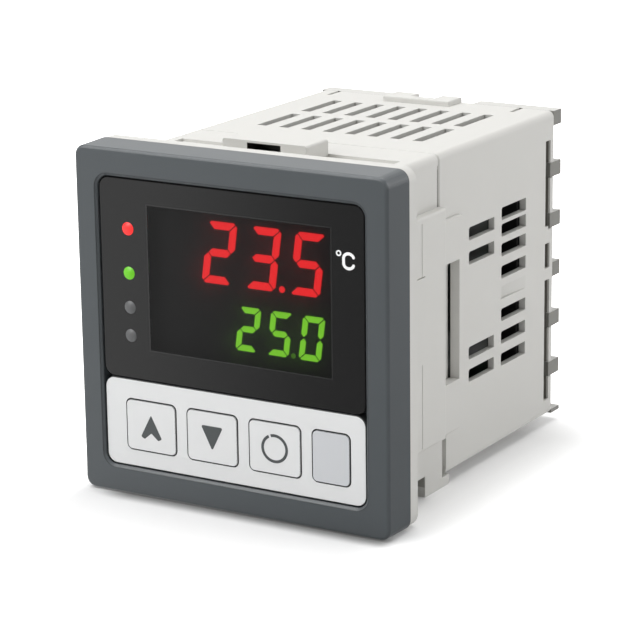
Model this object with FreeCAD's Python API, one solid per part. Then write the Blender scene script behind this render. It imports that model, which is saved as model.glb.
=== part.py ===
import FreeCAD, Part
import math
import os

from FreeCAD import Vector

# Panel controller of the 48 mm square size.
# While it is modelled, the front face is the plane y = 0, y runs into the panel, z is up,
# and the axis of the bezel is x = z = 0. The last step moves the parts so that the origin
# is the middle of the underside.

# Bezel
bezel_size = 48.0
bezel_depth = 5.4
bezel_draft = 0.15
bezel_corner = 1.6
bezel_edge = 0.45
frame_side = 3.2
frame_top = 3.6
lip_chamfer = 0.35
lip_corner = 2.0
ledge_width = 1.1
crossbar_height = 1.8
post_width = 2.4
post_height = 3.0
tongue_height = 1.1
tongue_reach = 5.5
tongue_side_gap = 0.5
fascia_gap = 0.12
overlap = 0.5

# Fascia: the window above and the keypad plate below
# The shares on it are of the width and height of the opening in the bezel
fascia_recess = 0.4
fascia_thickness = 1.5
fascia_corner = 1.5
fascia_edge = 0.15
split_share = -0.1863

# Keys
# The switch's share is of the height of the hole for a key
key_height_share = 0.179
key_row_share = -0.342
key_centre_shares = (-0.3113, -0.0769, 0.1575, 0.363)
key_width_shares = (0.196, 0.196, 0.196, 0.142)
key_corner = 0.9
key_clearance = 0.2
key_proud = 0.12
key_flange_width = 0.5
key_flange_thickness = 0.8
key_flange_gap = 0.05
key_travel = 0.3
switch_clearance = 0.05
plunger_size = 2.4
plunger_length = 0.6
switch_share = 0.616

# Indicators
indicator_x_share = -0.381
indicator_height_shares = (0.3211, 0.1728, 0.0576, -0.038)
indicator_radius = 0.88
indicator_clearance = 0.02
indicator_proud = 0.22
led_size = 1.6
led_height = 0.7
led_gap = 0.1

# Display
display_centre_share = 0.0072
display_width_share = 0.673
display_low_share = -0.0907
display_high_share = 0.3934
display_gap = 0.2
digit_slant = 8.0
upper_digit_shares = (0.1103, 0.2064)
upper_digit_corner = (0.3046, 0.1655)
upper_pitch_share = 0.1618
upper_bar = 1.05
lower_digit_shares = (0.0796, 0.1473)
lower_digit_corner = (0.3043, -0.0453)
lower_pitch_share = 0.1166
lower_bar = 0.82
bar_gap = 0.1
bar_depth = 0.1
bar_corner_share = 0.55
point_share = 0.42

# Boards
board_thickness = 1.6
board_front = 7.0
board_margin = 0.2
display_board_margin = 2.1
side_board_gap = 2.2
side_board_margin = 1.9
side_board_start_gap = 0.4
side_board_end_gap = 2.0
header_thickness = 2.5
header_share = 0.63
header_depth = 2.5

# Front housing: flange, collar and skirt
# The case stands back from the side and the top of the bezel by these steps
flange_depth = 2.3
flange_corner = 1.9
flange_edge = 0.35
case_side_step = 4.8
case_top_step = 1.5
case_corner = 0.9
wall = 1.0
collar_length = 14.3
collar_shoulder = 2.0
skirt_length = 4.5
skirt_wall = 1.2
skirt_gap = 0.1
seam_gap = 0.12
seam_edge = 0.2
side_groove = 0.4
side_groove_depth = 0.6

# Lugs, pads and latches
# Shares along x are of the width of the case, and shares along z are of its height
lug_start = 2.3
top_lug_shares = (-0.178, 0.16)
top_lug_length = 5.6
top_lug_height = 2.0
top_lug_edge = 0.35
lug_window_shares = (-0.0758, 0.0552)
lug_window_rise = 0.3
lug_window_height = 1.35
lug_window_depth = 3.6
top_recess_depth = 0.4
top_recess_share = 0.443
bottom_lug_width = 5.7
bottom_lug_start = 10.45
bottom_lug_height = 1.5
bottom_lug_edge = 0.4
toe_length = 3.0
toe_gap = 0.1
notch_length = 4.0
notch_width = 5.0
notch_rise = 1.5
pad_shares = (-0.3689, 0.3422)
groove_share = 0.4667
outer_pad_height = 1.2
inner_pad_height = 0.5
inner_pad_length = 6.3
inner_pad_share = 0.2978
inner_pad_corner = 1.2
inner_pad_bevel = 0.2
pad_edge = 0.35
hairline = 0.14
hairline_depth = 0.25
hairline_y = 15.2
hairline_end_gaps = (0.4, 0.8)
hairline_break_shares = (-0.1, 0.1622)
hairline_arms = (2.4, 0.9)
latch_window_start = 0.9
latch_window_length = 4.0
latch_window_shares = (-0.2111, 0.1622)
hook_length = 2.2
hook_land = 0.6
hook_height = 0.9
hook_start = 0.3
hook_end_gap = 0.4

# Rear case
# The vents' heights, and the slots' ends, are shares of the height of the case
case_length = 34.5
vent_height_share = 0.0405
vent_corner = 0.25
side_vent_length_share = 0.219
front_side_vents = (0.22, 0.1444, -0.1544, -0.2256)
rear_side_vents = (0.2378, 0.1856, 0.1233, 0.0522, -0.0844, -0.1578, -0.2289)
blind_vent_share = -0.0131
blind_vent_depth = 0.55
front_vent_start_share = 0.248
rear_vent_start_share = 0.53
top_vent_count = 8
top_vent_pitch_share = 0.0921
top_vent_width_share = 0.0396
top_vent_length_share = 0.2725
top_vent_start_share = 0.1884
rear_slot_width = 1.5
rear_slot_margin = 0.95
rear_slots = ((0.1333, 0.411), (-0.0033, 0.0778), (-0.4444, -0.0422))
lower_slot_start = 0.85
lower_slot_width = 1.15
lower_tab_gap = 0.1
tab_slit_shares = (-0.4208, 0.3663)
tab_slit_length = 3.2
tab_slit_width = 0.6
clip_shares = (-0.1683, 0.1139)
clip_horn_shares = (0.099, 0.0842)
clip_length = 4.0
clip_bar = 1.8
clip_height = 0.8
clip_edge = 0.25

# Terminal block, screws and contacts
# The sizes of a row are shares of the pitch of the ribs
terminal_floor = 4.2
block_base_thickness = 5.0
block_gap = 0.15
rib_count = 6
rib_foot = 0.6
rib_share = 0.284
rib_inside = 0.8
notched_ribs = (1, 2, 4, 5)
notch_depth = 0.6
notch_gap = 0.08
bottom_rib_thickness = 0.55
bottom_web_rise = 0.7
bottom_web_thickness = 0.8
bottom_web_inset = 1.0
rib_reach = 2.75
rib_edge = 0.3
rib_seat_gap = 0.05
land_share = 0.37
land_reach = 1.2
contact_margin = 1.2
contact_share = 0.4865
contact_thickness = 0.8
contact_tail = 1.6
contact_tail_width = 1.2
contact_clearance = 0.05
well_share = 0.405
well_margin = 0.5
screw_head_share = 0.25
screw_head_height = 1.5
screw_share = 0.169
screw_sides = 8
screw_head_sides = 14
screw_length = 4.6
screw_clearance = 0.1
screw_slot_width = 0.7
screw_slot_depth = 0.8

# Parts on the side boards
# Lengths and places along y are shares of the board's length, those along z of its height,
# and places are of the part's middle, from the board's front end and its middle height
transformer_shares = (0.44, 0.368)
transformer_place = (0.33, -0.079)
transformer_thickness = 6.0
core_leg_share = 0.2286
coil_overhang = 1.6
coil_gap = 0.1
coil_flange = 1.0
coil_step = 0.6
coil_corner = 0.9
relay_shares = (0.343, 0.526)
relay_place = (0.776, -0.224)
relay_thickness = 9.5
relay_edge = 0.5
bulk_radius_share = 0.1316
bulk_length = 14.0
bulk_place = (0.783, 0.2895)
filter_radius_share = 0.083
filter_length = 11.0
filter_place = (0.535, 0.3816)
varistor_radius_share = 0.092
varistor_thickness = 3.2
varistor_place = (0.453, -0.3816)
chip_share = 0.263
chip_thickness = 1.4
chip_place = (0.357, 0.2368)
crystal_shares = (0.288, 0.121)
crystal_height = 3.4
crystal_place = (0.25, -0.4)

# Worked out from the sizes above
flange_rear = bezel_depth + flange_depth
collar_rear = flange_rear + collar_length
case_front = collar_rear + seam_gap
case_rear = case_front + case_length
overall_depth = case_rear + rib_reach
lip_width = bezel_size - 2 * frame_side
lip_height = bezel_size - 2 * frame_top
inner_width = lip_width - 2 * lip_chamfer
inner_height = lip_height - 2 * lip_chamfer
fascia_rear = fascia_recess + fascia_thickness
display_front = fascia_rear + display_gap
fascia_width = inner_width - 2 * fascia_gap
fascia_top = inner_height / 2 - fascia_gap
cavity_width = inner_width - 2 * ledge_width
cavity_top = inner_height / 2 - ledge_width
split_height = split_share * lip_height
key_row_height = key_row_share * lip_height
key_hole_height = key_height_share * lip_height
key_centres = [share * lip_width for share in key_centre_shares]
key_hole_widths = [share * lip_width for share in key_width_shares]
indicator_x = indicator_x_share * lip_width
indicator_heights = [share * lip_height for share in indicator_height_shares]
case_width = bezel_size - 2 * case_side_step
case_height = bezel_size - 2 * case_top_step
half_width = case_width / 2
half_height = case_height / 2
hollow_width = case_width - 2 * wall
hollow_height = case_height - 2 * wall
pad_low, pad_high = [share * case_height for share in pad_shares]
lug_window_left, lug_window_right = [share * case_width for share in lug_window_shares]
vent_height = vent_height_share * case_height
board_rear = board_front + board_thickness
display_board_height = hollow_height - 2 * display_board_margin
floor_y = case_rear - terminal_floor
block_front = floor_y - block_base_thickness
side_board_x = hollow_width / 2 - side_board_gap - board_thickness
side_board_start = board_rear + side_board_start_gap
side_board_end = block_front - side_board_end_gap
side_board_length = side_board_end - side_board_start
side_board_height = hollow_height - 2 * side_board_margin
header_length = header_share * side_board_height
skirt_end = case_front + skirt_length
rib_pitch = (case_height - rib_foot) / rib_count
rib_thickness = rib_share * rib_pitch
land_width = land_share * hollow_width
channel_end = hollow_width / 2 - block_gap
channel_middle = (land_width / 2 + channel_end) / 2
contact_width = channel_end - land_width / 2 - 2 * contact_margin
contact_height = contact_share * rib_pitch
screw_head_radius = screw_head_share * rib_pitch
screw_radius = screw_share * rib_pitch


# Basic forms

def outline(width, height, radius, y, x=0.0, z=0.0):
    """A closed outline in the plane of the front, with four round corners."""
    left, right = x - width / 2, x + width / 2
    low, high = z - height / 2, z + height / 2
    if radius <= 0:
        corners = [(left, low), (right, low), (right, high), (left, high), (left, low)]
        return Part.makePolygon([Vector(a, y, b) for a, b in corners])
    edges = []
    turns = ((right - radius, low + radius, -90), (right - radius, high - radius, 0),
             (left + radius, high - radius, 90), (left + radius, low + radius, 180))
    arcs = []
    for cx, cz, start in turns:
        points = []
        for step in (0, 45, 90):
            angle = math.radians(start + step)
            points.append(Vector(cx + radius * math.cos(angle), y, cz + radius * math.sin(angle)))
        arcs.append(points)
    for index, points in enumerate(arcs):
        edges.append(Part.Arc(*points).toShape())
        following = arcs[(index + 1) % 4]
        edges.append(Part.makeLine(points[2], following[0]))
    return Part.Wire(edges)


def prism(width, height, radius, y0, y1, x=0.0, z=0.0):
    """A plate or bar with the rounded outline, from depth y0 to depth y1."""
    return Part.Face(outline(width, height, radius, y0, x, z)).extrude(Vector(0, y1 - y0, 0))


def tapered(front, rear, y0, y1):
    """A solid between two rounded outlines, each given as width, height and radius."""
    return Part.makeLoft([outline(*front, y0), outline(*rear, y1)], True, True)


def block(x0, x1, y0, y1, z0, z1):
    return Part.makeBox(x1 - x0, y1 - y0, z1 - z0, Vector(x0, y0, z0))


def rod(radius, y0, y1, x, z):
    return Part.makeCylinder(radius, y1 - y0, Vector(x, y0, z), Vector(0, 1, 0))


def rounded(shape, radius, chosen):
    """Rounds the edges whose bounding box passes the test."""
    edges = [edge for edge in shape.Edges if chosen(edge.BoundBox)]
    return shape.makeFillet(radius, edges)


def bevelled(shape, size, chosen):
    """Bevels the edges whose bounding box passes the test."""
    edges = [edge for edge in shape.Edges if chosen(edge.BoundBox)]
    return shape.makeChamfer(size, edges)


def at_depth(y):
    """A test for edges that lie flat at one depth."""
    return lambda box: abs(box.YMin - y) < 1e-4 and abs(box.YMax - y) < 1e-4


def both_sides(shape):
    """A shape and its mirror image on the other side."""
    return [shape, shape.mirror(Vector(0, 0, 0), Vector(1, 0, 0))]


def joined(first, others):
    return first.fuse(others).removeSplitter()


# Front

def front_bezel():
    front_size = bezel_size - 2 * bezel_draft
    body = tapered((front_size, front_size, bezel_corner - bezel_draft),
                   (bezel_size, bezel_size, bezel_corner), 0, bezel_depth)
    body = rounded(body, bezel_edge, at_depth(0))
    seat = prism(inner_width, inner_height, lip_corner - lip_chamfer, -1, fascia_rear)
    lip = tapered((lip_width, lip_height, lip_corner),
                  (inner_width, inner_height, lip_corner - lip_chamfer), 0, lip_chamfer)
    upper_low = split_height + crossbar_height / 2
    upper = prism(cavity_width, cavity_top - upper_low, 0, fascia_rear, bezel_depth + 1,
                  0, (cavity_top + upper_low) / 2)
    lower_high = split_height - crossbar_height / 2
    lower = prism(cavity_width, lower_high + cavity_top, 0, fascia_rear, bezel_depth + 1,
                  0, (lower_high - cavity_top) / 2)
    body = body.cut([seat, lip, upper, lower])
    return joined(body, board_rests() + bezel_tongues())


def board_rests():
    """The cross bar and two corner posts carry the display board."""
    low, high = split_height - crossbar_height / 2, split_height + crossbar_height / 2
    side = cavity_width / 2 + overlap
    bar = block(-side, side, fascia_rear, bezel_depth, low, high)
    reach = hollow_width / 2 - board_margin
    rib = block(-reach, reach, fascia_rear, board_front, low, high)
    post_top = display_board_height / 2
    post = block(reach - post_width, reach, fascia_rear, board_front, post_top - post_height, post_top)
    wall_side = block(reach - post_width, side, fascia_rear, bezel_depth,
                      post_top - post_height, cavity_top + overlap)
    return [bar, rib] + both_sides(post) + both_sides(wall_side)


def bezel_tongues():
    """Tongues at the top and bottom that hold the bezel in the housing."""
    level = hollow_height / 2 - skirt_gap
    tongue = block(lug_window_left + tongue_side_gap, lug_window_right - tongue_side_gap,
                   bezel_depth - overlap, flange_rear + tongue_reach, level - tongue_height, level)
    return [tongue, tongue.mirror(Vector(0, 0, 0), Vector(0, 0, 1))]


def display_window():
    low = split_height + fascia_gap / 2
    body = prism(fascia_width, fascia_top - low, fascia_corner, fascia_recess, fascia_rear,
                 0, (fascia_top + low) / 2)
    holes = [rod(indicator_radius + indicator_clearance, 0, fascia_rear + 1, indicator_x, height)
             for height in indicator_heights]
    return bevelled(body, fascia_edge, at_depth(fascia_recess)).cut(holes)


def keypad_plate():
    high = split_height - fascia_gap / 2
    body = prism(fascia_width, high + fascia_top, fascia_corner, fascia_recess, fascia_rear,
                 0, (high - fascia_top) / 2)
    holes = [prism(width, key_hole_height, key_corner, 0, fascia_rear + 1, centre, key_row_height)
             for centre, width in zip(key_centres, key_hole_widths)]
    return bevelled(body, fascia_edge, at_depth(fascia_recess)).cut(holes)


def key(index):
    """One key: a cap in its hole and a wider flange behind the plate."""
    width = key_hole_widths[index] - 2 * key_clearance
    height = key_hole_height - 2 * key_clearance
    front = fascia_recess - key_proud
    flange_front = fascia_rear + key_flange_gap
    cap = prism(width, height, key_corner - key_clearance, front, flange_front,
                key_centres[index], key_row_height)
    flange = prism(key_hole_widths[index] + 2 * key_flange_width, key_hole_height + 2 * key_flange_width,
                   0, flange_front, flange_front + key_flange_thickness,
                   key_centres[index], key_row_height)
    return joined(cap, [flange])


def tact_switch(index):
    """The switch under a key: a square base with a square plunger."""
    key_rear = fascia_rear + key_flange_gap + key_flange_thickness
    plunger_front = key_rear + key_travel + switch_clearance
    base_front = plunger_front + plunger_length
    size = switch_share * key_hole_height
    base = prism(size, size, 0, base_front, board_front, key_centres[index], key_row_height)
    plunger = prism(plunger_size, plunger_size, 0, plunger_front, base_front,
                    key_centres[index], key_row_height)
    return joined(base, [plunger])


def indicator(height):
    """A light pipe with a domed head in its hole of the window."""
    front = fascia_recess
    rear = board_front - led_height - led_gap
    body = rod(indicator_radius, front, rear, indicator_x, height)
    dome_radius = (indicator_radius ** 2 + indicator_proud ** 2) / (2 * indicator_proud)
    centre = Vector(indicator_x, front - indicator_proud + dome_radius, height)
    dome = Part.makeSphere(dome_radius, centre)
    cap = rod(indicator_radius, front - indicator_proud - 0.1, front, indicator_x, height)
    return joined(body, [cap.common(dome)])


def indicator_leds():
    """The four chips on the board behind the light pipes."""
    return [prism(led_size, led_size, 0, board_front - led_height, board_front, indicator_x, height)
            for height in indicator_heights]


# Display with its lit digits

SEGMENTS = {"0": "abcdef", "2": "abged", "3": "abgcd", "5": "afgcd"}


def bar_outlines(width, height, thickness):
    """The outlines of the seven bars of an upright digit, mitred at its corners."""
    corner = bar_corner_share * thickness
    half = thickness / 2
    cut_in, cut_out = (corner + bar_gap) / 2, (corner - bar_gap) / 2
    tip = thickness + bar_gap
    middle = height / 2
    top = [(corner, height), (width - corner, height), (width - cut_in, height - cut_out),
           (width - tip, height - thickness), (tip, height - thickness), (cut_in, height - cut_out)]
    end = middle + half + bar_gap
    upper_left = [(0, height - corner), (cut_out, height - cut_in), (thickness, height - tip),
                  (thickness, end), (half, middle + bar_gap), (0, end)]
    cross = [(half + bar_gap, middle), (tip, middle + half), (width - tip, middle + half),
             (width - half - bar_gap, middle), (width - tip, middle - half), (tip, middle - half)]
    upper_right = [(width - x, z) for x, z in upper_left]
    return {"a": top, "b": upper_right, "c": [(x, height - z) for x, z in upper_right],
            "d": [(x, height - z) for x, z in top], "e": [(x, height - z) for x, z in upper_left],
            "f": upper_left, "g": cross}


def digit_bars(sign, x, low, outlines, y0, y1):
    """The lit bars of one digit, whose lower left corner is at x and low."""
    lean = math.tan(math.radians(digit_slant))
    bars = []
    for name in SEGMENTS[sign]:
        points = [Vector(x + a + b * lean, y0, low + b) for a, b in outlines[name]]
        bars.append(Part.Face(Part.makePolygon(points + points[:1])).extrude(Vector(0, y1 - y0, 0)))
    return bars


def row_bars(signs, digit_shares, corner_shares, pitch_share, thickness):
    """Three digits that end at the right, with the point before the last one."""
    y0 = display_front - bar_depth
    width, height = digit_shares[0] * lip_width, digit_shares[1] * lip_height
    right, low = corner_shares[0] * lip_width, corner_shares[1] * lip_height
    pitch = pitch_share * lip_width
    outlines = bar_outlines(width, height, thickness)
    bars = []
    for index, sign in enumerate(reversed(signs)):
        bars += digit_bars(sign, right - width - index * pitch, low, outlines, y0, display_front)
    point_x = right - pitch + (pitch - width) / 2
    point_radius = point_share * thickness
    bars.append(rod(point_radius, y0, display_front, point_x, low + point_radius))
    return bars


def upper_digits():
    return row_bars("235", upper_digit_shares, upper_digit_corner, upper_pitch_share, upper_bar)


def lower_digits():
    return row_bars("250", lower_digit_shares, lower_digit_corner, lower_pitch_share, lower_bar)


def display_module():
    """The block of the display. The lit bars lie on its face."""
    low, high = display_low_share * lip_height, display_high_share * lip_height
    return prism(display_width_share * lip_width, high - low, 0, display_front, board_front,
                 display_centre_share * lip_width, (high + low) / 2)


# Front housing

def collar_tube():
    """Flange, collar, shoulder and the skirt that slides into the rear case."""
    flange = prism(bezel_size, bezel_size, flange_corner, bezel_depth, flange_rear)
    flange = bevelled(flange, flange_edge, at_depth(flange_rear))
    collar = prism(case_width, case_height, case_corner, flange_rear, collar_rear)
    collar = bevelled(collar, seam_edge, at_depth(collar_rear))
    skirt = prism(hollow_width - 2 * skirt_gap, hollow_height - 2 * skirt_gap, 0,
                  collar_rear - collar_shoulder, skirt_end)
    body = joined(flange, [collar, skirt])
    front_hollow = prism(hollow_width, hollow_height, 0, bezel_depth - 1, collar_rear - collar_shoulder)
    step = skirt_gap + skirt_wall
    rear_hollow = prism(hollow_width - 2 * step, hollow_height - 2 * step, 0,
                        collar_rear - collar_shoulder - 1, skirt_end + 1)
    return body.cut([front_hollow, rear_hollow])


def top_lug():
    """The raised block at the middle of the top, with the window for the tongue of the bezel."""
    start = flange_rear + lug_start
    end = start + top_lug_length
    top = half_height + top_lug_height
    left, right = [share * case_width for share in top_lug_shares]
    body = block(left, right, start, end, half_height - overlap, top)
    body = rounded(body, top_lug_edge, lambda box: box.ZMin > top - 1e-4 and box.YMax > start + 1e-4)
    window_low = half_height + lug_window_rise
    window = block(lug_window_left, lug_window_right, start - 1, start + lug_window_depth,
                   window_low, window_low + lug_window_height)
    return body, window


def bottom_lug():
    """The foot at a lower corner: it ends in a toe that reaches under the rear case."""
    start = flange_rear + bottom_lug_start
    low = -half_height - bottom_lug_height
    inner = half_width - bottom_lug_width
    end = collar_rear + toe_length
    foot = block(inner, half_width, start, collar_rear, low, case_corner - half_height)
    toe = block(inner, half_width, start, end, low, -half_height - toe_gap)
    body = foot.fuse(toe).removeSplitter()
    return rounded(body, bottom_lug_edge, lambda box: box.YMin > end - 1e-4 and
                   box.XLength > 1 and box.ZMax < low + 1e-4)


def lower_tab():
    """The edge of the collar above a foot: it reaches back into a cut in the rear case."""
    return block(half_width - wall, half_width, collar_rear - collar_shoulder, case_front + lower_slot_start,
                 -half_height - bottom_lug_height, pad_low - lower_tab_gap)


def outer_pad():
    """The raised pad of the latch arm on the side of the collar."""
    start = flange_rear + lug_start
    side = half_width + outer_pad_height
    body = block(half_width - overlap, side, start, collar_rear, pad_low, pad_high)
    body = rounded(body, pad_edge, lambda box: box.XMin > side - 1e-4)
    break_low, break_high = [share * case_height for share in hairline_break_shares]
    bottom_gap, top_gap = hairline_end_gaps
    forward, back = hairline_arms
    floor = side - hairline_depth
    upper = block(floor, side + 1, hairline_y, hairline_y + hairline, break_high, pad_high - top_gap)
    lower = block(floor, side + 1, hairline_y, hairline_y + hairline, pad_low + bottom_gap, break_low)
    across = block(floor, side + 1, hairline_y - forward, hairline_y + back,
                   break_high, break_high + hairline)
    return body.cut([upper, lower, across])


def latch_window_ends():
    return [share * case_height for share in latch_window_shares]


def latch_hook():
    """The ramped hook that springs into the window of the rear case."""
    foot_x = hollow_width / 2 - skirt_gap - hook_start
    tip_x = foot_x + hook_start + hook_height
    start = case_front + latch_window_start + hook_start
    low, high = latch_window_ends()
    low, high = low + hook_end_gap, high - hook_end_gap
    points = [(foot_x, start), (tip_x, start), (tip_x, start + hook_land), (foot_x, start + hook_length)]
    corners = [Vector(x, y, low) for x, y in points + points[:1]]
    return Part.Face(Part.makePolygon(corners)).extrude(Vector(0, 0, high - low))


def front_housing():
    body = collar_tube()
    lug, lug_window = top_lug()
    additions = [lug]
    for piece in (bottom_lug(), lower_tab(), outer_pad(), latch_hook()):
        additions += both_sides(piece)
    body = joined(body, additions)
    recess_top = half_height - top_recess_depth
    recess_side = top_recess_share * case_width
    recess_end = flange_rear + lug_start + top_lug_length
    lug_left, lug_right = [share * case_width for share in top_lug_shares]
    right_recess = block(lug_right, recess_side, flange_rear, recess_end, recess_top, half_height + 1)
    left_recess = block(-recess_side, lug_left, flange_rear, recess_end, recess_top, half_height + 1)
    groove = block(half_width - side_groove_depth, half_width + 1, collar_rear - side_groove, collar_rear + 1,
                   pad_high, groove_share * case_height)
    notch_end = flange_rear + bottom_lug_start
    notch = block(half_width - notch_width, half_width + 1, notch_end - notch_length, notch_end,
                  -half_height - 1, -half_height + notch_rise)
    return body.cut([lug_window, right_recess, left_recess] + both_sides(groove) + both_sides(notch))


# Rear case

def case_shell():
    body = prism(case_width, case_height, case_corner, case_front, case_rear)
    body = bevelled(body, seam_edge, at_depth(case_front))
    hollow = prism(hollow_width, hollow_height, 0, case_front - 1, case_rear + 1)
    return body.cut(hollow)


def inner_pad():
    """The low pad around the latch window, with two round rear corners."""
    side = half_width + inner_pad_height
    end = case_front + inner_pad_length
    body = block(half_width - overlap, side, case_front, end, pad_low, inner_pad_share * case_height)
    body = rounded(body, inner_pad_corner, lambda box: box.XLength > overlap and box.YMin > end - 1e-4)
    return bevelled(body, inner_pad_bevel,
                    lambda box: box.XMin > side - 1e-4 and box.YMax > case_front + 1e-4)


def side_vents():
    """The two columns of vents in one side wall, with their front corners cut off."""
    inside = hollow_width / 2 - 1
    length = side_vent_length_share * case_length
    cuts = []
    for start_share, height_shares in ((front_vent_start_share, front_side_vents),
                                       (rear_vent_start_share, rear_side_vents)):
        start = case_front + start_share * case_length
        for share in height_shares:
            middle = share * case_height
            vent = block(inside, half_width + 1, start, start + length,
                         middle - vent_height / 2, middle + vent_height / 2)
            cuts.append(bevelled(vent, vent_corner, lambda box: box.YMax < start + 1e-4 and box.XLength > 1))
    return cuts


def blind_vent():
    """The vent that was left closed: a shallow ramp that runs out to the rear."""
    start = case_front + rear_vent_start_share * case_length
    end = start + side_vent_length_share * case_length
    low = blind_vent_share * case_height - vent_height / 2
    points = [(half_width + 1, start), (half_width - blind_vent_depth, start), (half_width, end),
              (half_width + 1, end), (half_width + 1, start)]
    face = Part.Face(Part.makePolygon([Vector(x, y, low) for x, y in points]))
    return face.extrude(Vector(0, 0, vent_height))


def rear_side_slots():
    y1 = case_rear - rear_slot_margin
    return [block(hollow_width / 2 - 1, half_width + 1, y1 - rear_slot_width, y1,
                  low * case_height, high * case_height) for low, high in rear_slots]


def rib_top(index):
    """The height of the top of a rib of the terminal block, counted from the top."""
    return half_height - index * rib_pitch


def rib_notches():
    """The notches in the outside of the rear edge that take the teeth of some ribs."""
    y0 = case_rear - rear_slot_margin
    return [block(half_width - notch_depth, half_width + 1, y0 - overlap, case_rear + 1,
                  rib_top(index) - rib_thickness - notch_gap, rib_top(index) + notch_gap)
            for index in notched_ribs]


def top_vents():
    """Two rows of slots through the top wall."""
    cuts = []
    pitch = top_vent_pitch_share * case_width
    half = top_vent_width_share * case_width / 2
    length = top_vent_length_share * case_length
    first = -pitch * (top_vent_count - 1) / 2
    for start_share in (top_vent_start_share, rear_vent_start_share):
        y0 = case_front + start_share * case_length
        for index in range(top_vent_count):
            x = first + index * pitch
            cuts.append(block(x - half, x + half, y0, y0 + length, hollow_height / 2 - 1, half_height + 1))
    return cuts


def rear_clip():
    """The low U-shaped clip at the rear of the top."""
    low, top = half_height - overlap, half_height + clip_height
    front = case_rear - clip_length
    left, right = [share * case_width for share in clip_shares]
    left_horn, right_horn = [share * case_width for share in clip_horn_shares]
    bar = block(left, right, front, front + clip_bar, low, top)
    horns = [block(left, left + left_horn, front, case_rear, low, top),
             block(right - right_horn, right, front, case_rear, low, top)]
    body = bar.fuse(horns).removeSplitter()
    return rounded(body, clip_edge, lambda box: box.ZMin > top - 1e-4)


def rear_case():
    body = joined(case_shell(), both_sides(inner_pad()) + [rear_clip()])
    top = top_vents()
    bottom = [cut.mirror(Vector(0, 0, 0), Vector(0, 0, 1)) for cut in top]
    cuts = top + bottom
    window_start = case_front + latch_window_start
    window_low, window_high = latch_window_ends()
    window = block(hollow_width / 2 - 1, half_width + 2, window_start, window_start + latch_window_length,
                   window_low, window_high)
    lower_slot = block(hollow_width / 2 - 1, half_width + 1, case_front - 1,
                       case_front + lower_slot_start + lower_slot_width, -half_height - 1, pad_low)
    for cut in side_vents() + [blind_vent()] + rear_side_slots() + rib_notches() + [window, lower_slot]:
        cuts += both_sides(cut)
    for share in tab_slit_shares:
        x = share * case_width
        cuts.append(block(x - tab_slit_width / 2, x + tab_slit_width / 2, case_rear - tab_slit_length,
                          case_rear + 1, hollow_height / 2 - 1, half_height + 1))
    return body.cut(cuts)


# Terminal block

def column_centres():
    return (-channel_middle, channel_middle)


def row_centres():
    """The middle height of each row of terminals, between two ribs."""
    centres = []
    for index in range(rib_count):
        high = rib_top(index) - rib_thickness
        low = rib_top(index + 1)
        if index == rib_count - 1:
            low = block_gap - hollow_height / 2
        centres.append((high + low) / 2)
    return centres


def barrier_rib(index):
    """One rib right of the land: behind the case it reaches the side, where some have a tooth."""
    high = rib_top(index)
    low = high - rib_thickness
    start = land_width / 2 - overlap
    inner_high = min(high, hollow_height / 2 - block_gap)
    inner_low = min(low, inner_high - rib_inside)
    inside = block(start, channel_end, floor_y - overlap, case_rear + rib_seat_gap + overlap,
                   inner_low, inner_high)
    pieces = [inside, rib_end(low, high)]
    if index in notched_ribs:
        pieces.append(block(half_width - notch_depth + notch_gap, half_width, case_rear - rear_slot_margin,
                            case_rear + rib_seat_gap + overlap, low, high))
    return pieces


def rib_end(low, high):
    """The part of a rib behind the case, with its rear edges bevelled."""
    end = block(land_width / 2 - overlap, half_width, case_rear + rib_seat_gap, overall_depth, low, high)
    return bevelled(end, rib_edge, lambda box: box.YMin > overall_depth - 1e-4)


def bottom_rib():
    """The thin lowest rib lies below the hollow of the case, on a web beside the land."""
    start = case_rear + rib_seat_gap
    web = block(0, half_width - bottom_web_inset, start, start + bottom_web_thickness,
                -half_height, bottom_web_rise - hollow_height / 2)
    plate = block(land_width / 2 - overlap, half_width, start, overall_depth,
                  -half_height, -half_height + bottom_rib_thickness)
    return [web, plate]


def terminal_block():
    width = hollow_width - 2 * block_gap
    height = hollow_height - 2 * block_gap
    body = block(-width / 2, width / 2, block_front, floor_y, -height / 2, height / 2)
    land = block(-land_width / 2, land_width / 2, floor_y - overlap, case_rear + land_reach,
                 -height / 2, height / 2)
    additions = [land]
    for index in range(rib_count):
        for piece in barrier_rib(index):
            additions += both_sides(piece)
    for piece in bottom_rib():
        additions += both_sides(piece)
    body = joined(body, additions)
    cuts = []
    for x in column_centres():
        for z in row_centres():
            cuts.append(screw_well(x, z))
            cuts.append(tail_bar(x, z, contact_clearance, floor_y + 1))
    return body.cut(cuts)


def screw_well(x, z):
    """The square well that the tip of a screw and its captive thread stand in."""
    depth = screw_length - contact_thickness + well_margin
    half = well_share * rib_pitch / 2
    return block(x - half, x + half, floor_y - depth, floor_y + 1, z - half, z + half)


def tail_bar(x, z, margin, y1):
    """The tail of a contact, or its slot when a margin is given."""
    side = 1 if x > 0 else -1
    middle = x - side * (contact_width / 2 - contact_tail_width / 2)
    half = contact_tail_width / 2 + margin
    thick = contact_thickness / 2 + margin
    front = block_front - contact_tail
    return block(middle - half, middle + half, front, y1, z - thick, z + thick)


def terminal_contacts(x):
    """The contacts of one column: a slotted plate under each screw and a tail through the block."""
    contacts = []
    outward = 1 if x > 0 else -1
    for z in row_centres():
        plate = block(x - contact_width / 2, x + contact_width / 2, floor_y, floor_y + contact_thickness,
                      z - contact_height / 2, z + contact_height / 2)
        tail = tail_bar(x, z, 0, floor_y + contact_thickness)
        half = screw_radius + screw_clearance
        ends = (x - outward * half, x + outward * (contact_width / 2 + 1))
        slot = block(min(ends), max(ends), floor_y - 1, floor_y + 2, z - half, z + half)
        contacts.append(joined(plate, [tail]).cut(slot))
    return contacts


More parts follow.
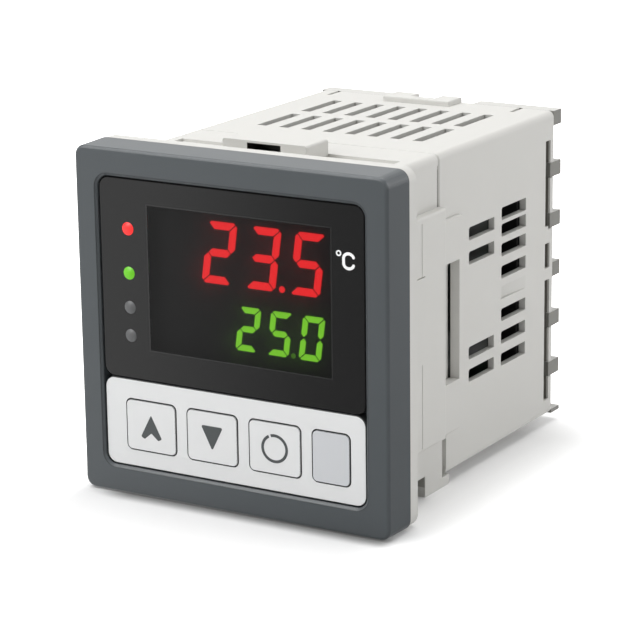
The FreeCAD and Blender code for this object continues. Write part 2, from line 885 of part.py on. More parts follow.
def flat_sided_rod(radius, sides, y0, y1, x, z):
    """A rod with flat sides, for the heads and plain shanks of the screws."""
    points = []
    for index in range(sides):
        angle = 2 * math.pi * (index + 0.5) / sides
        points.append(Vector(x + radius * math.cos(angle), y0, z + radius * math.sin(angle)))
    return Part.Face(Part.makePolygon(points + points[:1])).extrude(Vector(0, y1 - y0, 0))


def terminal_screw(x, z):
    """A slotted screw, seen from the rear."""
    seat = floor_y + contact_thickness
    top = seat + screw_head_height
    tip = seat - screw_length
    head = flat_sided_rod(screw_head_radius, screw_head_sides, seat, top, x, z)
    body = joined(head, [flat_sided_rod(screw_radius, screw_sides, tip, seat, x, z)])
    slot = block(x - screw_head_radius - 1, x + screw_head_radius + 1, top - screw_slot_depth, top + 1,
                 z - screw_slot_width / 2, z + screw_slot_width / 2)
    return body.cut(slot)


def terminal_screws():
    return [terminal_screw(x, z) for x in column_centres() for z in row_centres()]


# Boards and what they carry

def display_board():
    width = hollow_width - 2 * board_margin
    return prism(width, display_board_height, 0, board_front, board_rear)


def side_board(side):
    """An upright board along one side wall; side is -1 for the left and 1 for the right."""
    inner = side * side_board_x
    outer = side * (side_board_x + board_thickness)
    return block(min(inner, outer), max(inner, outer), side_board_start, side_board_end,
                 -side_board_height / 2, side_board_height / 2)


def board_header(side):
    """The row of pins that joins an upright board to the display board."""
    inner = side * (side_board_x - header_thickness)
    outer = side * side_board_x
    return block(min(inner, outer), max(inner, outer), board_rear, board_rear + header_depth,
                 -header_length / 2, header_length / 2)


def along_board(share):
    """The depth of a place on a side board, from the share of the board's length in front of it."""
    return side_board_start + share * side_board_length


def transformer_sizes():
    """Length, height, front end, middle height and leg of the transformer on the left board."""
    length = transformer_shares[0] * side_board_length
    height = transformer_shares[1] * side_board_height
    start = along_board(transformer_place[0]) - length / 2
    return length, height, start, transformer_place[1] * side_board_height, core_leg_share * height


def transformer_core():
    length, height, y0, middle, leg = transformer_sizes()
    x0 = -side_board_x + coil_overhang
    x1 = x0 + transformer_thickness
    body = block(x0, x1, y0, y0 + length, middle - height / 2, middle + height / 2)
    edge = leg / 2
    lower = block(x0 - 1, x1 + 1, y0 + edge, y0 + length - edge, middle - height / 2 + edge, middle - leg / 2)
    upper = block(x0 - 1, x1 + 1, y0 + edge, y0 + length - edge, middle + leg / 2, middle + height / 2 - edge)
    return body.cut([lower, upper])


def transformer_coil():
    """The wound bobbin round the middle leg of the core."""
    length, height, start, middle, core_leg = transformer_sizes()
    x0 = -side_board_x
    x1 = x0 + transformer_thickness + 2 * coil_overhang
    margin = core_leg / 2 + coil_gap
    y0, y1 = start + margin, start + length - margin
    reach = height / 2 - margin
    ends = [block(x0, x1, y0, y0 + coil_flange, middle - reach, middle + reach),
            block(x0, x1, y1 - coil_flange, y1, middle - reach, middle + reach)]
    wound = reach - coil_step
    winding = block(x0 + coil_step, x1 - coil_step, y0, y1, middle - wound, middle + wound)
    winding = rounded(winding, coil_corner, lambda box: box.YLength > y1 - y0 - 1e-4)
    leg = core_leg / 2 + coil_gap
    hole = block(x0 + coil_overhang - coil_gap, x0 + coil_overhang + transformer_thickness + coil_gap,
                 y0 - 1, y1 + 1, middle - leg, middle + leg)
    return joined(winding, ends).cut(hole)


def relay(side):
    inner = side * (side_board_x - relay_thickness)
    outer = side * side_board_x
    length, height = relay_shares[0] * side_board_length, relay_shares[1] * side_board_height
    y0 = along_board(relay_place[0]) - length / 2
    low = relay_place[1] * side_board_height - height / 2
    body = block(min(inner, outer), max(inner, outer), y0, y0 + length, low, low + height)
    return rounded(body, relay_edge,
                   lambda box: abs(box.XMin - inner) < 1e-4 and abs(box.XMax - inner) < 1e-4)


def can(radius_share, length, place):
    """A round part that stands on the left board."""
    start = Vector(-side_board_x, along_board(place[0]), place[1] * side_board_height)
    return Part.makeCylinder(radius_share * side_board_height, length, start, Vector(1, 0, 0))


def microcontroller():
    half = chip_share * side_board_height / 2
    y, z = along_board(chip_place[0]), chip_place[1] * side_board_height
    return block(side_board_x - chip_thickness, side_board_x, y - half, y + half, z - half, z + half)


def crystal():
    length, width = crystal_shares[0] * side_board_length, crystal_shares[1] * side_board_height
    y, z = along_board(crystal_place[0]), crystal_place[1] * side_board_height
    body = block(side_board_x - crystal_height, side_board_x, y - length / 2, y + length / 2,
                 z - width / 2, z + width / 2)
    return bevelled(body, width / 4, lambda box: box.XLength > crystal_height - 1e-4)


# Export

def all_parts():
    parts = {
        "front_bezel": front_bezel(),
        "display_window": display_window(),
        "keypad_plate": keypad_plate(),
        "display_module": display_module(),
        "upper_digits": upper_digits(),
        "lower_digits": lower_digits(),
        "indicator_leds": indicator_leds(),
        "front_housing": front_housing(),
        "rear_case": rear_case(),
        "terminal_block": terminal_block(),
        "terminal_screws": terminal_screws(),
        "display_board": display_board(),
        "power_board": side_board(-1),
        "control_board": side_board(1),
        "power_header": board_header(-1),
        "control_header": board_header(1),
        "transformer_core": transformer_core(),
        "transformer_coil": transformer_coil(),
        "output_relay": relay(-1),
        "alarm_relay": relay(1),
        "bulk_capacitor": can(bulk_radius_share, bulk_length, bulk_place),
        "filter_capacitor": can(filter_radius_share, filter_length, filter_place),
        "varistor": can(varistor_radius_share, varistor_thickness, varistor_place),
        "microcontroller": microcontroller(),
        "crystal": crystal(),
    }
    for index, name in enumerate(("up", "down", "set", "blank")):
        parts["key_" + name] = key(index)
        parts["tact_switch_" + name] = tact_switch(index)
    for name, height in zip(("red", "green", "upper_off", "lower_off"), indicator_heights):
        parts["indicator_" + name] = indicator(height)
    for name, x in zip(("left", "right"), column_centres()):
        parts["terminal_contacts_" + name] = terminal_contacts(x)
    return parts


def export(parts):
    os.makedirs("parts", exist_ok=True)
    move = Vector(0, -overall_depth / 2, bezel_size / 2)
    for name, shape in parts.items():
        whole = Part.makeCompound(shape) if isinstance(shape, list) else shape
        whole.translate(move)
        whole.exportStep("parts/" + name + ".step")
        print(name, len(whole.Solids), "solids", round(whole.Volume, 1), "mm3",
              "valid" if whole.isValid() else "NOT VALID")


export(all_parts())
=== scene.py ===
import bpy
import bmesh
import math
from mathutils import Matrix, Vector


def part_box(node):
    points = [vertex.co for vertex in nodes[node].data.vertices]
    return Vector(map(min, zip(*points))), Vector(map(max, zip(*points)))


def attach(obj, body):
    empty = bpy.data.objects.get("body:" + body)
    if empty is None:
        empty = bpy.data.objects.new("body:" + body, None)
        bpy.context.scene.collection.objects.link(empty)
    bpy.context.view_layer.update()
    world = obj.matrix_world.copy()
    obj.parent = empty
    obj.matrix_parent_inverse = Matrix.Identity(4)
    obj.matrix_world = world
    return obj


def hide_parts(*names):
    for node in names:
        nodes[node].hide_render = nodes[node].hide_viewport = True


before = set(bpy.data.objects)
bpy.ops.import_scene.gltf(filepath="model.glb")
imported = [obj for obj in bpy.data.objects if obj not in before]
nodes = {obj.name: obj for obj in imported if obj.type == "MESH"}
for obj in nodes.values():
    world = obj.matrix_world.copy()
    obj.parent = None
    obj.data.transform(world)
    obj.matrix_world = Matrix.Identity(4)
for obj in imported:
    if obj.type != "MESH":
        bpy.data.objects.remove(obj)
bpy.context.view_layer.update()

# Camera
# A long lens stands to the front right of the controller and a little above it. Its place is given
# from the middle of the front face, which is half a front above the floor.
front_size = 0.048
front_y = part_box("front_bezel")[0].y
azimuth = math.radians(30.991)
elevation = math.radians(15.115)
roll = math.radians(-0.744)
distance = 0.3436
aim_right = 0.01188
aim_up = 0.00262
lens_mm = 148.08
sensor_mm = 36

back = Vector((math.sin(azimuth) * math.cos(elevation), -math.cos(azimuth) * math.cos(elevation),
               math.sin(elevation)))
level_right = Vector((0, 0, 1)).cross(back).normalized()
level_up = back.cross(level_right)
right = level_right * math.cos(roll) + level_up * math.sin(roll)
up = level_up * math.cos(roll) - level_right * math.sin(roll)
centre = Vector((0, front_y, front_size / 2))
camera_data = bpy.data.cameras.new("camera")
camera_data.lens = lens_mm
camera_data.sensor_width = sensor_mm
camera_data.clip_start = 0.01
camera = bpy.data.objects.new("camera", camera_data)
turned = Matrix((right, up, back)).transposed().to_4x4()
camera.matrix_world = Matrix.Translation(centre + back * distance + right * aim_right + up * aim_up) @ turned
bpy.context.scene.collection.objects.link(camera)
bpy.context.scene.camera = camera


# Studio
# A white paper sweep under soft boxes, lit most from the left. What looks straight at the sweep or the
# world sees white; a polished face sees a painted reflection of the paper, darker towards the right.
def linear(text):
    """The linear colour of an sRGB hex value."""
    values = [int(text[index:index + 2], 16) / 255 for index in (1, 3, 5)]
    return [v / 12.92 if v <= 0.04045 else ((v + 0.055) / 1.055) ** 2.4 for v in values] + [1.0]


def add_node(tree, kind, inputs=None, **settings):
    """Adds one node with its settings; each input is a value or the socket it is linked to."""
    node = tree.nodes.new(kind)
    for name, value in settings.items():
        setattr(node, name, value)
    for name, value in (inputs or {}).items():
        if isinstance(value, bpy.types.NodeSocket):
            tree.links.new(value, node.inputs[name])
        else:
            node.inputs[name].default_value = value
    return node


def new_material(name):
    """An empty node material and its tree."""
    material = bpy.data.materials.new(name)
    material.use_nodes = True
    material.node_tree.nodes.clear()
    return material, material.node_tree


# The paper glows up to white, but least under the controller and close round it, so that the shadow stays.
# The glow comes back soonest on the left and latest towards the front.
paper_colour = "#F4F4F4"
shadow_left = -0.0225
shadow_right = 0.0195
shadow_front = -0.0297
shadow_rear = 0.018
left_share = 3.0
front_share = 0.35
near_glow = 0.05
far_glow = 1.0
glow_reach = 0.027

# Along the lower front edge hardly any light gets in, so a painted shadow darkens the paper there.
contact_left = -0.0165
contact_right = 0.0225
contact_share = 0.4
contact_reach = 0.0028
painted_shadow_level = 0.30

# A painted reflection: what a polished face sees of the paper, from left to right across it.
mirror_left = 1.0
mirror_right = 0.32
mirror_start = -0.010
mirror_end = 0.034
floor_size = 6.0

floor_material, tree = new_material("white_paper")
spot = add_node(tree, "ShaderNodeNewGeometry")
sides = add_node(tree, "ShaderNodeSeparateXYZ", {0: spot.outputs["Position"]})


def past_ends(left, share, right):
    """How far the paper is past a left end, times a share, or past a right end; 0 between them."""
    on_left = add_node(tree, "ShaderNodeMath", {0: left, 1: sides.outputs["X"]}, operation="SUBTRACT")
    on_left = add_node(tree, "ShaderNodeMath", {0: on_left.outputs[0], 1: share}, operation="MULTIPLY")
    on_right = add_node(tree, "ShaderNodeMath", {0: sides.outputs["X"], 1: right}, operation="SUBTRACT")
    return add_node(tree, "ShaderNodeMath", {0: on_left.outputs[0], 1: on_right.outputs[0]},
                    operation="MAXIMUM", use_clamp=True)


aside = past_ends(shadow_left, left_share, shadow_right)
before = add_node(tree, "ShaderNodeMath", {0: shadow_front, 1: sides.outputs["Y"]}, operation="SUBTRACT",
                  use_clamp=True)
before = add_node(tree, "ShaderNodeMath", {0: before.outputs[0], 1: front_share}, operation="MULTIPLY")
behind = add_node(tree, "ShaderNodeMath", {0: sides.outputs["Y"], 1: shadow_rear}, operation="SUBTRACT",
                  use_clamp=True)
along = add_node(tree, "ShaderNodeMath", {0: before.outputs[0], 1: behind.outputs[0]}, operation="ADD")
away = add_node(tree, "ShaderNodeCombineXYZ", {0: aside.outputs[0], 1: along.outputs[0]})
away = add_node(tree, "ShaderNodeVectorMath", {0: away.outputs[0]}, operation="LENGTH")
glow = add_node(tree, "ShaderNodeMapRange", {0: away.outputs["Value"], 1: 0.0, 2: glow_reach,
                                             3: near_glow, 4: far_glow}, interpolation_type="SMOOTHSTEP")
# Painted shadow: the paper's colour is scaled down close to the lower front edge.
beside = past_ends(contact_left, contact_share, contact_right)
edge = add_node(tree, "ShaderNodeMath", {0: shadow_front, 1: sides.outputs["Y"]}, operation="SUBTRACT")
near = add_node(tree, "ShaderNodeCombineXYZ", {0: beside.outputs[0], 1: edge.outputs[0]})
near = add_node(tree, "ShaderNodeVectorMath", {0: near.outputs[0]}, operation="LENGTH")
close = add_node(tree, "ShaderNodeMapRange", {0: near.outputs["Value"], 1: 0.0, 2: contact_reach,
                                              3: painted_shadow_level, 4: 1.0}, interpolation_type="SMOOTHSTEP")
tone = add_node(tree, "ShaderNodeVectorMath", {0: linear(paper_colour)[:3], "Scale": close.outputs[0]},
                operation="SCALE")
paper = add_node(tree, "ShaderNodeBsdfDiffuse", {"Color": tone.outputs[0]})
shine = add_node(tree, "ShaderNodeEmission", {"Color": linear("#FFFFFF"), "Strength": glow.outputs[0]})
lifted = add_node(tree, "ShaderNodeAddShader", {0: paper.outputs[0], 1: shine.outputs[0]})
across = add_node(tree, "ShaderNodeVectorMath", {0: spot.outputs["Position"],
                                                 1: (math.cos(azimuth), -math.sin(azimuth), 0)},
                  operation="DOT_PRODUCT")
falling = add_node(tree, "ShaderNodeMapRange", {0: across.outputs["Value"], 1: mirror_start, 2: mirror_end,
                                                3: mirror_left, 4: mirror_right},
                   interpolation_type="SMOOTHSTEP")
mirrored = add_node(tree, "ShaderNodeEmission", {"Color": linear("#FFFFFF"), "Strength": falling.outputs[0]})
paths = add_node(tree, "ShaderNodeLightPath")
shown = add_node(tree, "ShaderNodeMixShader", {0: paths.outputs["Is Camera Ray"], 1: paper.outputs[0],
                                               2: lifted.outputs[0]})
shown = add_node(tree, "ShaderNodeMixShader", {0: paths.outputs["Is Glossy Ray"], 1: shown.outputs[0],
                                               2: mirrored.outputs[0]})
add_node(tree, "ShaderNodeOutputMaterial", {"Surface": shown.outputs[0]})
floor_mesh = bpy.data.meshes.new("floor")
half = floor_size / 2
floor_mesh.from_pydata([(-half, -half, 0), (half, -half, 0), (half, half, 0), (-half, half, 0)], [],
                       [(0, 1, 2, 3)])
floor_mesh.materials.append(floor_material)
floor = bpy.data.objects.new("floor", floor_mesh)
bpy.context.scene.collection.objects.link(floor)

world_fill = 0.24
world = bpy.data.worlds.new("studio")
world.use_nodes = True
tree = world.node_tree
tree.nodes.clear()
paths = add_node(tree, "ShaderNodeLightPath")
direct = add_node(tree, "ShaderNodeMath", {0: paths.outputs["Is Camera Ray"],
                                           1: paths.outputs["Is Glossy Ray"]}, operation="MAXIMUM")
direct = add_node(tree, "ShaderNodeMath", {0: direct.outputs[0],
                                           1: paths.outputs["Is Transmission Ray"]}, operation="MAXIMUM")
fill = add_node(tree, "ShaderNodeBackground", {"Color": linear("#FFFFFF"), "Strength": world_fill})
white = add_node(tree, "ShaderNodeBackground", {"Color": linear("#FFFFFF"), "Strength": 1.0})
sky = add_node(tree, "ShaderNodeMixShader", {0: direct.outputs[0], 1: fill.outputs[0],
                                             2: white.outputs[0]})
add_node(tree, "ShaderNodeOutputWorld", {"Surface": sky.outputs[0]})
bpy.context.scene.world = world
bpy.context.scene.view_settings.view_transform = "Standard"


def soft_box(name, place, size, power):
    """A square soft box that faces the middle of the front."""
    data = bpy.data.lights.new(name, "AREA")
    data.size = size
    data.energy = power
    lamp = bpy.data.objects.new(name, data)
    lamp.location = place
    towards = Vector((0, 0, front_size / 2)) - Vector(place)
    lamp.rotation_euler = towards.to_track_quat("-Z", "Y").to_euler()
    bpy.context.scene.collection.objects.link(lamp)


overhead_power = 3.6
front_power = 3.2
right_power = 1.75
edge_power = 0.8
soft_box("overhead", (-0.05, 0.08, 0.70), 0.60, overhead_power)
soft_box("front_left", (-0.35, -0.65, 0.42), 0.50, front_power)
soft_box("rear_right", (0.60, 0.36, 0.28), 0.45, right_power)
soft_box("edge_left", (-0.36, -0.19, 0.60), 0.16, edge_power)


# Front housing and rear case
# Both are injection moulded in light grey ABS. The mould is spark eroded, which leaves a fine dull grain,
# and the edges come out slightly round, so they catch a thin line of light. Hardly any light gets into the
# seams, the grooves and the inside, so these are painted darker, as painted shade.
def paint(name, material):
    """Gives a node of the frame its one material."""
    slots = nodes[name].material_slots
    for slot in slots:
        slot.material = material
    if not slots:
        nodes[name].data.materials.append(material)


def moulded(name, colour, roughness, ior, grain_mm, grain_depth_mm, mottle, edge_mm=0.06):
    """Moulded plastic: even colour with faint clouds, a fine grain and slightly round edges."""
    material, tree = new_material(name)
    cloud_mm = 6.0
    gloss_spread = 0.08
    place = add_node(tree, "ShaderNodeTexCoord")
    cloud = add_node(tree, "ShaderNodeTexNoise", {"Vector": place.outputs["Object"],
                                                  "Scale": 1000 / cloud_mm, "Detail": 2.0})
    deep = [value * (1 - mottle) for value in linear(colour)[:3]] + [1.0]
    pale = [min(value * (1 + mottle), 1.0) for value in linear(colour)[:3]] + [1.0]
    tone = add_node(tree, "ShaderNodeMix", {0: cloud.outputs[0], 6: deep, 7: pale}, data_type="RGBA")
    dull = add_node(tree, "ShaderNodeMapRange", {0: cloud.outputs[0], 3: roughness * (1 - gloss_spread),
                                                 4: roughness * (1 + gloss_spread)})
    grain = add_node(tree, "ShaderNodeTexNoise", {"Vector": place.outputs["Object"],
                                                  "Scale": 1000 / grain_mm, "Detail": 3.0})
    edges = add_node(tree, "ShaderNodeBevel", {"Radius": edge_mm / 1000}, samples=6)
    bump = add_node(tree, "ShaderNodeBump", {"Height": grain.outputs[0], "Strength": 0.6,
                                             "Distance": grain_depth_mm / 1000, "Normal": edges.outputs[0]})
    surface = add_node(tree, "ShaderNodeBsdfPrincipled", {
        "Base Color": tone.outputs[2], "Roughness": dull.outputs[0], "IOR": ior, "Normal": bump.outputs[0]})
    add_node(tree, "ShaderNodeOutputMaterial", {"Surface": surface.outputs[0]})
    return material


def within(tree, low, high):
    """A node that is 1 inside the box between two corners and 0 outside it."""
    middle = (Vector(low) + Vector(high)) / 2
    half = (Vector(high) - Vector(low)) / 2
    place = add_node(tree, "ShaderNodeTexCoord")
    offset = add_node(tree, "ShaderNodeVectorMath", {0: place.outputs["Object"], 1: middle},
                      operation="SUBTRACT")
    offset = add_node(tree, "ShaderNodeVectorMath", {0: offset.outputs[0]}, operation="ABSOLUTE")
    offset = add_node(tree, "ShaderNodeVectorMath", {0: offset.outputs[0], 1: half}, operation="SUBTRACT")
    sides = add_node(tree, "ShaderNodeSeparateXYZ", {0: offset.outputs[0]})
    outside = add_node(tree, "ShaderNodeMath", {0: sides.outputs["X"], 1: sides.outputs["Y"]},
                       operation="MAXIMUM")
    outside = add_node(tree, "ShaderNodeMath", {0: outside.outputs[0], 1: sides.outputs["Z"]},
                       operation="MAXIMUM")
    return add_node(tree, "ShaderNodeMath", {0: outside.outputs[0], 1: 0.0}, operation="LESS_THAN")


far = 1.0


def slice_between(first, last):
    """The corners of all that lies between two depths, whatever its place across the front."""
    return (-far, first, -far), (far, last, far)


def tint(tree, where, colour):
    """Lays a colour over a material's own, as far as a node says."""
    base = tree.nodes["Principled BSDF"].inputs["Base Color"]
    over = add_node(tree, "ShaderNodeMix", {0: where.outputs[0], 6: base.links[0].from_socket,
                                            7: linear(colour)}, data_type="RGBA")
    tree.links.new(over.outputs[2], base)


# A spark eroded grain is some 0.1 mm wide. It is drawn about three times as coarse, so that it shows.
abs_grey = moulded("moulded_light_grey_abs", "#CFCECA", roughness=0.55, ior=1.50, grain_mm=0.35,
                   grain_depth_mm=0.004, mottle=0.015)
# Painted shade: a darker tone in each box, where little light gets in.
painted_shade_places = {
    "rear grooves": ("#77756E", (-0.0189, 0.0243, 0.0030), (0.0189, 0.0290, 0.0440)),
    "collar seam": ("#5C5A53", (-0.01897, -0.0082, 0.0036), (0.01897, -0.0074, 0.0444)),
    "foot notches": ("#9C9B95", (-0.0191, -0.0156, 0.0014), (0.0191, -0.0114, 0.0031)),
    "inside": ("#3E3D38", (-0.0183, -0.0029, 0.0026), (0.0183, 0.0175, 0.0454)),
    "lug window": ("#2C2B27", (-0.0030, -0.0216, 0.0467), (0.0022, -0.0156, 0.0482)),
}
for colour, low, high in painted_shade_places.values():
    tint(abs_grey.node_tree, within(abs_grey.node_tree, low, high), colour)
paint("front_housing", abs_grey)
paint("rear_case", abs_grey)

# Terminal block
# Moulded in a harder, darker grey polyamide that stands the heat of the terminals. Glass fibre in it makes
# the surface a little rougher and cloudier than the case. The upper faces of its ribs are painted paler, as
# painted light from above, and its base in the case is painted black, as painted shade.
polyamide = moulded("moulded_grey_polyamide", "#7E7D78", roughness=0.48, ior=1.53, grain_mm=0.30,
                    grain_depth_mm=0.006, mottle=0.03)
# Painted light on the ribs' upper faces, and painted shade on the base inside the case.
rib_top_painted_light = "#C9C8C4"
base_painted_shade = "#141413"
base_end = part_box("terminal_contacts_left")[1].y - 0.002
tree = polyamide.node_tree
facing = add_node(tree, "ShaderNodeNewGeometry")
facing = add_node(tree, "ShaderNodeSeparateXYZ", {0: facing.outputs["Normal"]})
upwards = add_node(tree, "ShaderNodeMapRange", {0: facing.outputs["Z"], 1: 0.5, 2: 0.9})
tint(tree, upwards, rib_top_painted_light)
tint(tree, within(tree, *slice_between(-far, base_end)), base_painted_shade)
paint("terminal_block", polyamide)


# Contacts
# Stamped from brass strip and tin plated: soft bright metal with fine marks along the strip. Each one lies
# on the floor of its channel, under its screw.
def plated(name, colour, roughness, mark_mm, edge_mm=0.1):
    """Plated metal: a metallic surface whose roughness varies in fine marks."""
    material, tree = new_material(name)
    gloss_spread = 0.3
    place = add_node(tree, "ShaderNodeTexCoord")
    marks = add_node(tree, "ShaderNodeTexNoise", {"Vector": place.outputs["Object"],
                                                  "Scale": 1000 / mark_mm, "Detail": 4.0})
    rough = add_node(tree, "ShaderNodeMapRange", {0: marks.outputs[0], 3: roughness * (1 - gloss_spread),
                                                  4: roughness * (1 + gloss_spread)})
    edges = add_node(tree, "ShaderNodeBevel", {"Radius": edge_mm / 1000}, samples=6)
    surface = add_node(tree, "ShaderNodeBsdfPrincipled", {
        "Base Color": linear(colour), "Metallic": 1.0, "Roughness": rough.outputs[0],
        "Normal": edges.outputs[0]})
    add_node(tree, "ShaderNodeOutputMaterial", {"Surface": surface.outputs[0]})
    return material


tinned = plated("tinned_brass", "#BDB49B", roughness=0.35, mark_mm=0.5)
paint("terminal_contacts_left", tinned)
paint("terminal_contacts_right", tinned)


# Terminal screws
# Pan heads of nickel plated steel. The blank is headed, so the rim is round, the slot and the cross are
# struck into it, and the thread is rolled. Each screw is left at another angle.
def solid_boxes(name):
    """The corner pairs of the separate solids in one node."""
    mesh = bmesh.new()
    mesh.from_mesh(nodes[name].data)
    bmesh.ops.remove_doubles(mesh, verts=mesh.verts, dist=1e-6)
    unseen = set(mesh.verts)
    boxes = []
    while unseen:
        group = [unseen.pop()]
        for vertex in group:
            for edge in vertex.link_edges:
                other = edge.other_vert(vertex)
                if other in unseen:
                    unseen.remove(other)
                    group.append(other)
        low = Vector([min(v.co[axis] for v in group) for axis in range(3)])
        high = Vector([max(v.co[axis] for v in group) for axis in range(3)])
        boxes.append((low, high))
    mesh.free()
    return sorted(boxes, key=lambda box: (round(box[0].x, 4), box[0].z))


def lathe(mesh, rings, steps):
    """Adds a closed turned form; each ring is a depth and a radius, which may vary with the angle."""
    rows = []
    for depth, radius in rings:
        row = []
        for index in range(steps):
            angle = 2 * math.pi * index / steps
            reach = radius(depth, angle) if callable(radius) else radius
            row.append(mesh.verts.new((reach * math.cos(angle), depth, reach * math.sin(angle))))
        rows.append(row)
    for lower, upper in zip(rows, rows[1:]):
        for index in range(steps):
            following = (index + 1) % steps
            mesh.faces.new((lower[index], lower[following], upper[following], upper[index]))
    mesh.faces.new(rows[0])
    mesh.faces.new(rows[-1])
    bmesh.ops.recalc_face_normals(mesh, faces=mesh.faces)


def mesh_object(name, mesh):
    """A mesh object in the scene from a bmesh, which is freed."""
    data = bpy.data.meshes.new(name)
    mesh.to_mesh(data)
    mesh.free()
    made = bpy.data.objects.new(name, data)
    bpy.context.scene.collection.objects.link(made)
    return made


def recess_cutter(name, length, width, depth, angle):
    """A bar that cuts a recess into a screw head, whose top is at depth 0."""
    mesh = bmesh.new()
    corners = bmesh.ops.create_cube(mesh, size=1.0)["verts"]
    bmesh.ops.scale(mesh, verts=corners, vec=(length, 2 * depth, width))
    bmesh.ops.rotate(mesh, verts=corners, matrix=Matrix.Rotation(angle, 3, "Y"))
    return mesh_object(name, mesh)


nickel = plated("nickel_plated_steel", "#C9C7C0", roughness=0.28, mark_mm=0.4)
screw_boxes = solid_boxes("terminal_screws")
seat_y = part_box("terminal_contacts_left")[1].y
tip_y = screw_boxes[0][0].y
top_y = screw_boxes[0][1].y
head_radius = (screw_boxes[0][1].x - screw_boxes[0][0].x) / 2
head_height = top_y - seat_y
head_sides = 40
foot_radius = 0.92 * head_radius
foot_height = 0.06 * head_height
crown_radius = 0.3 * head_radius
dome_height = 0.55 * head_height
dome_inset = 0.448 * head_height
dome_steps = 8
slot_length = 3 * head_radius
slot_width = 0.0006
slot_depth = 0.0008
cross_length = 0.0022
cross_width = 0.8 * slot_width
cross_depth = 1.2 * slot_depth
shank_radius = 0.00125
shank_sides = 20
thread_pitch = 0.00045
thread_depth = 0.00022
rows_a_turn = 6


def thread(depth, angle):
    """The radius of the rolled thread at one depth and angle."""
    phase = (depth / thread_pitch - angle / (2 * math.pi)) % 1.0
    return shank_radius - thread_depth * abs(2 * phase - 1)


head_mesh = bmesh.new()
profile = [(-head_height, foot_radius), (foot_height - head_height, head_radius),
           (-dome_height, head_radius)]
for index in range(1, dome_steps + 1):
    turn = math.radians(90) * index / dome_steps
    profile.append((dome_height * (math.sin(turn) - 1), head_radius - dome_inset * (1 - math.cos(turn))))
profile.append((0.0, crown_radius))
lathe(head_mesh, profile, head_sides)
head = mesh_object("screw_head", head_mesh)
cutters = (recess_cutter("slot_cutter", slot_length, slot_width, slot_depth, 0.0),
           recess_cutter("cross_cutter", cross_length, cross_width, cross_depth, math.radians(90)))
for cutter in cutters:
    cut = head.modifiers.new("recess", "BOOLEAN")
    cut.operation = "DIFFERENCE"
    cut.object = cutter
    cut.solver = "EXACT"
struck = bpy.data.meshes.new_from_object(head.evaluated_get(bpy.context.evaluated_depsgraph_get()))
for used in (head, *cutters):
    bpy.data.objects.remove(used)

shank_mesh = bmesh.new()
row_count = int((seat_y - tip_y) / thread_pitch * rows_a_turn)
rows = [(tip_y - top_y + (seat_y - tip_y) * index / row_count, thread) for index in range(row_count + 1)]
lathe(shank_mesh, rows, shank_sides)
shank = bpy.data.meshes.new("screw_shank")
shank_mesh.to_mesh(shank)
shank_mesh.free()

first_turn = 20
next_turn = 47
crease = math.radians(30)
screws_mesh = bmesh.new()
for index, (low, high) in enumerate(screw_boxes):
    place = Matrix.Translation(((low.x + high.x) / 2, top_y, (low.z + high.z) / 2))
    angle = Matrix.Rotation(math.radians(first_turn + next_turn * index), 4, "Y")
    for part in (struck, shank):
        single = part.copy()
        single.transform(place @ angle)
        screws_mesh.from_mesh(single)
        bpy.data.meshes.remove(single)
for face in screws_mesh.faces:
    face.smooth = True
for edge in screws_mesh.edges:
    if len(edge.link_faces) == 2 and edge.calc_face_angle() > crease:
        edge.smooth = False
screws = mesh_object("pan_head_screws", screws_mesh)
screws.data.materials.append(nickel)
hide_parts("terminal_screws")
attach(screws, "controller")

# Circuit boards
# Glass fibre boards under dark green solder mask, a smooth lacquer that shines a little. They stand in the
# case and show only through its vents.
solder_mask = moulded("dark_solder_mask", "#0B1811", roughness=0.35, ior=1.50, grain_mm=1.2,
                      grain_depth_mm=0.004, mottle=0.15)
for name in ("display_board", "power_board", "control_board"):
    paint(name, solder_mask)

# Parts on the boards
# Header rows, switches and the controller chip are moulded in black, and the relays have black covers.
black_plastic = moulded("moulded_black_plastic", "#101011", roughness=0.75, ior=1.40, grain_mm=0.4,
                        grain_depth_mm=0.006, mottle=0.1)
for name in ("power_header", "control_header", "tact_switch_up", "tact_switch_down", "tact_switch_set",
             "tact_switch_blank", "microcontroller", "output_relay", "alarm_relay"):
    paint(name, black_plastic)

# Stacked sheet steel for the core, yellow tape round the coil, shrunk sleeves on the capacitors, a blue
# coating on the varistor, a drawn can on the crystal and pale chips behind the light pipes.
paint("transformer_core", plated("stacked_sheet_steel", "#262522", roughness=0.6, mark_mm=0.6))
paint("transformer_coil", moulded("yellow_coil_tape", "#C89B2B", roughness=0.4, ior=1.50, grain_mm=1.0,
                                  grain_depth_mm=0.01, mottle=0.1))
sleeve = moulded("shrunk_black_sleeve", "#1D1E22", roughness=0.3, ior=1.50, grain_mm=1.5,
                 grain_depth_mm=0.01, mottle=0.1)
paint("bulk_capacitor", sleeve)
paint("filter_capacitor", sleeve)
paint("varistor", moulded("blue_varistor_coat", "#27508F", roughness=0.4, ior=1.50, grain_mm=0.8,
                          grain_depth_mm=0.01, mottle=0.1))
paint("crystal", plated("drawn_can", "#C8C8C8", roughness=0.3, mark_mm=0.5))
paint("indicator_leds", moulded("led_chip", "#E6E2D2", roughness=0.4, ior=1.50, grain_mm=0.5,
                                grain_depth_mm=0.004, mottle=0.05))


# Display
# A black block whose bars are light guides of clear resin over the chips. Each bar is brightest along its
# middle and fades a little at its edges. The decimal point of the lower row is nearly off.
def flatness(tree, reach_mm):
    """A node whose Value is 1 on open faces and falls near an edge, within a reach."""
    plain = add_node(tree, "ShaderNodeNewGeometry")
    eased = add_node(tree, "ShaderNodeBevel", {"Radius": reach_mm / 1000}, samples=8)
    return add_node(tree, "ShaderNodeVectorMath", {0: plain.outputs["True Normal"], 1: eased.outputs[0]},
                    operation="DOT_PRODUCT")


